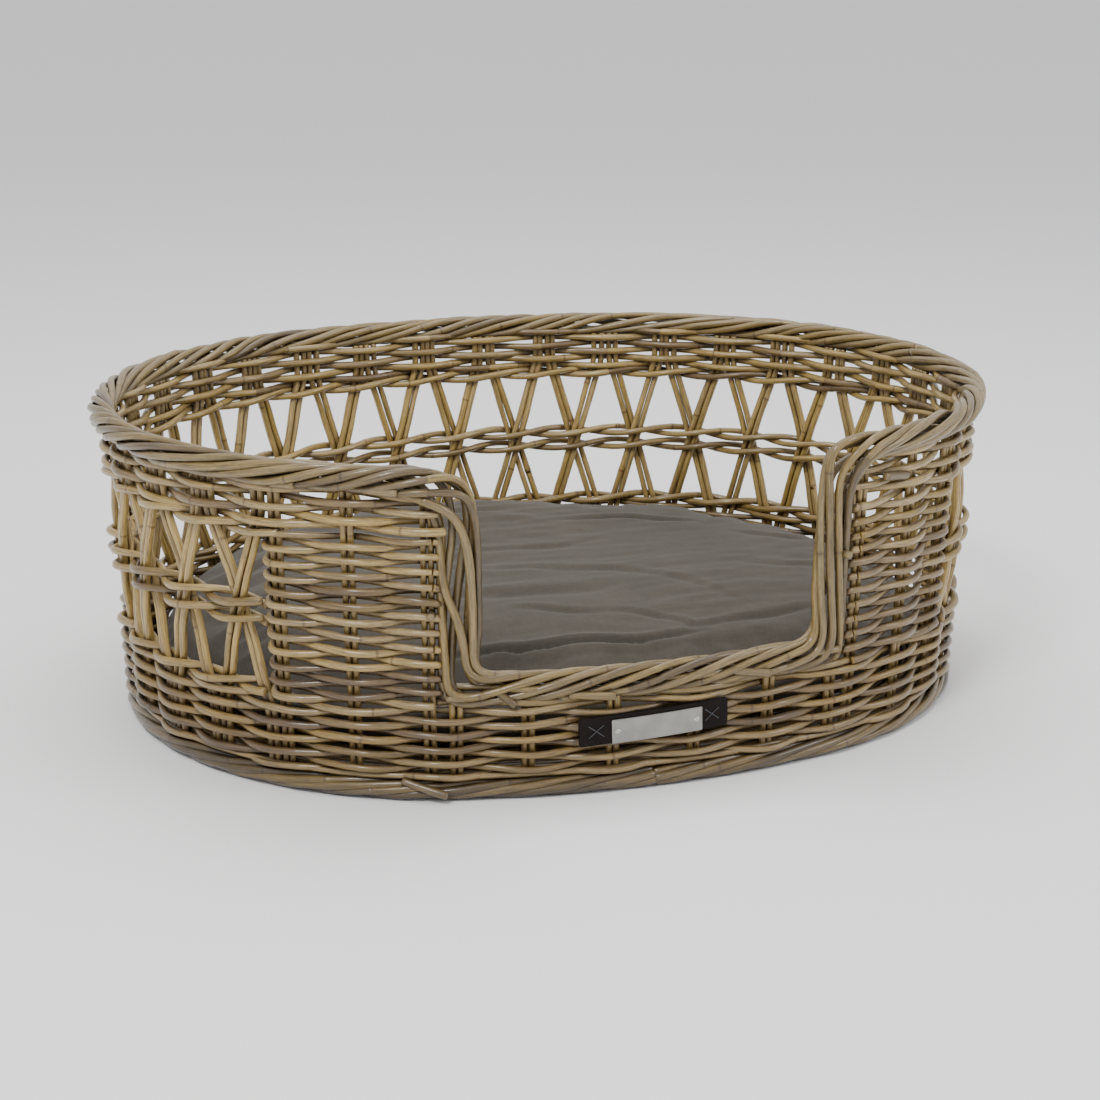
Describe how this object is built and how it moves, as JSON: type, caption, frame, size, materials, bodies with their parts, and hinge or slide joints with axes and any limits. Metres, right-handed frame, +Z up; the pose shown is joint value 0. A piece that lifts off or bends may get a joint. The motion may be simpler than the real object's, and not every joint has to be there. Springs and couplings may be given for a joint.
{
  "type": "wicker pet bed basket",
  "caption": "Oval wicker pet bed with a woven base, open lattice wall, rolled rim, a low front entrance and a loose oval cushion.",
  "frame": {"origin": "centre of the footprint, on the floor that the basket stands on", "axes": "+X along the basket's length, +Z up, the entrance faces -Y"},
  "size_m": [0.901, 0.7114, 0.3115],
  "materials": {
    "rattan_weave": "satin, grey-brown peeled rattan, glossy on its crowns",
    "rattan_rods": "satin, honey to grey-brown rattan",
    "rattan_border": "satin, grey-brown rattan strands laid as a rope",
    "rattan_base": "matt, grey-brown rattan",
    "tag_leather": "satin dark brown leather",
    "tag_metal": "brushed, slightly warm",
    "tag_thread": "matt twisted thread",
    "cushion_canvas": "matt cotton canvas, plain weave",
    "cushion_filling": "matt fibre filling",
    "zip_fabric": "matt woven tape",
    "zip_plastic": "matt moulded coil",
    "zip_metal": "dark nickel"
  },
  "bodies": {
    "basket": {"foot_border": "rattan_border", "base_weave": "rattan_base", "base_sticks_long": "rattan_base", "base_sticks_cross": "rattan_base", "lattice_rods_outer": "rattan_rods", "lattice_rods_inner": "rattan_rods", "sill_stakes": "rattan_rods", "post_stakes": "rattan_rods", "panel_stakes": "rattan_rods", "lower_weave": "rattan_weave", "panel_weave_left": "rattan_weave", "panel_weave_right": "rattan_weave", "upper_weave": "rattan_weave", "lattice_foot_twine": "rattan_weave", "mid_twine_lower": "rattan_weave", "mid_twine_upper": "rattan_weave", "rim_border": "rattan_border", "entrance_border": "rattan_border", "tag_strap": "tag_leather", "name_plate": "tag_metal", "plate_brads": "tag_metal", "tag_stitches": "tag_thread"},
    "cushion": {"cover_top": "cushion_canvas", "cover_bottom": "cushion_canvas", "pad_filling": "cushion_filling", "zip_tape": "zip_fabric", "zip_teeth": "zip_plastic"},
    "zip_slider": {"zip_slider": "zip_metal", "zip_pull": "zip_metal"}
  },
  "joints": [
    {"name": "cushion_lift", "type": "slide", "parent": "basket", "child": "cushion", "axis": [0, 0, 1], "range_m": [0, 0.3]},
    {"name": "zip_run", "type": "hinge", "parent": "cushion", "child": "zip_slider", "pos_m": [0, -0.39262, 0.064], "axis": [0, 0, 1], "range_deg": [-24, 0]}
  ]
}
